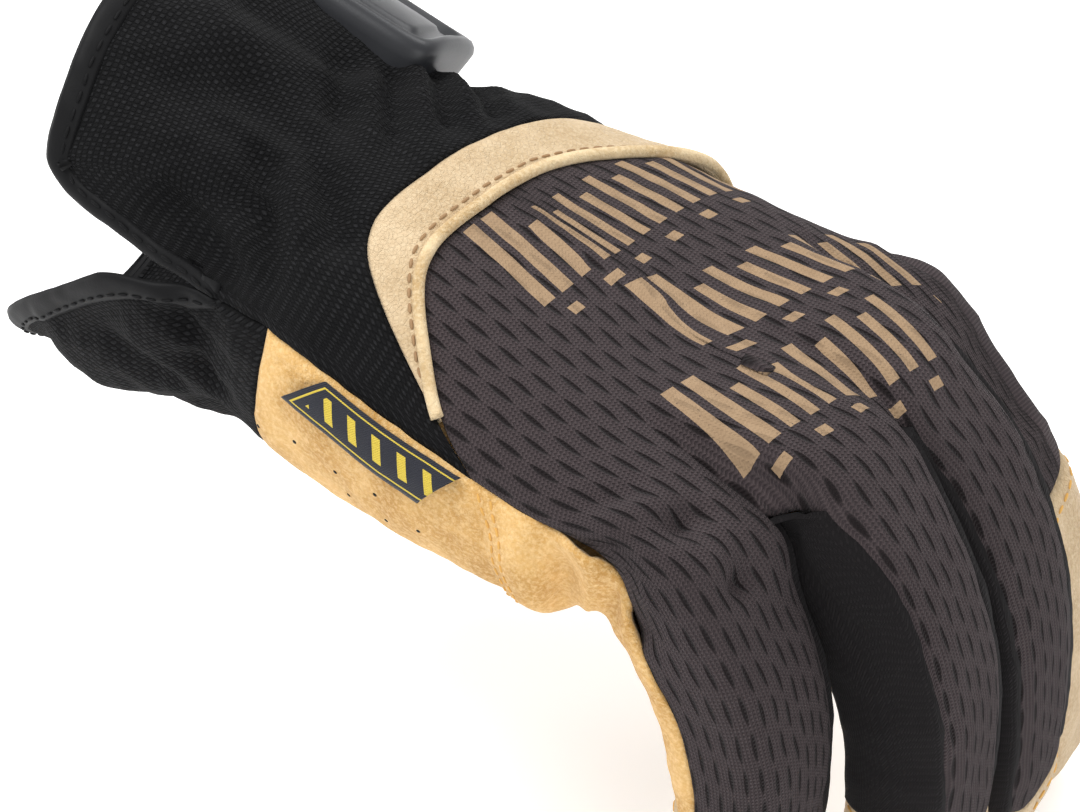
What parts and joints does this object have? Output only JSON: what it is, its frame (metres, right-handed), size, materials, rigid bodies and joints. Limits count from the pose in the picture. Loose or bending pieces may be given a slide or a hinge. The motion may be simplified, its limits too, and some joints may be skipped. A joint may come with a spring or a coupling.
{
  "type": "work glove",
  "caption": "Right-hand work glove with a brown ribbed knit back, golden suede palm, pale leather wrist band and fingertips, black stretch finger walls and a gathered black cuff.",
  "frame": {"origin": "middle of the open cuff mouth, where the hand goes in", "axes": "+X from the cuff towards the knuckles, +Y towards the thumb, +Z out of the back of the hand; the fingers hang towards -Z"},
  "size_m": [0.1862, 0.1223, 0.1546],
  "materials": {
    "knit": "matte",
    "suede": "matte",
    "pale": "satin",
    "stretch": "matte",
    "woven": "matte",
    "tape": "satin",
    "rubber": "satin",
    "label": "matte"
  },
  "bodies": {
    "root": {"back_panel": "knit", "palm_panel": "suede", "wall_little_ring": "stretch", "wall_ring_middle": "stretch", "wall_middle_index": "stretch", "tip_little": "pale", "tip_ring": "pale", "tip_middle": "pale", "tip_index": "pale", "thumb_back": "stretch", "thumb_front": "suede", "tip_thumb": "pale", "wrist_band": "pale", "cuff_back": "woven", "cuff_palm": "woven", "binding_back": "tape", "binding_palm": "tape", "cuff_badge": "rubber", "side_label": "label"}
  },
  "joints": []
}
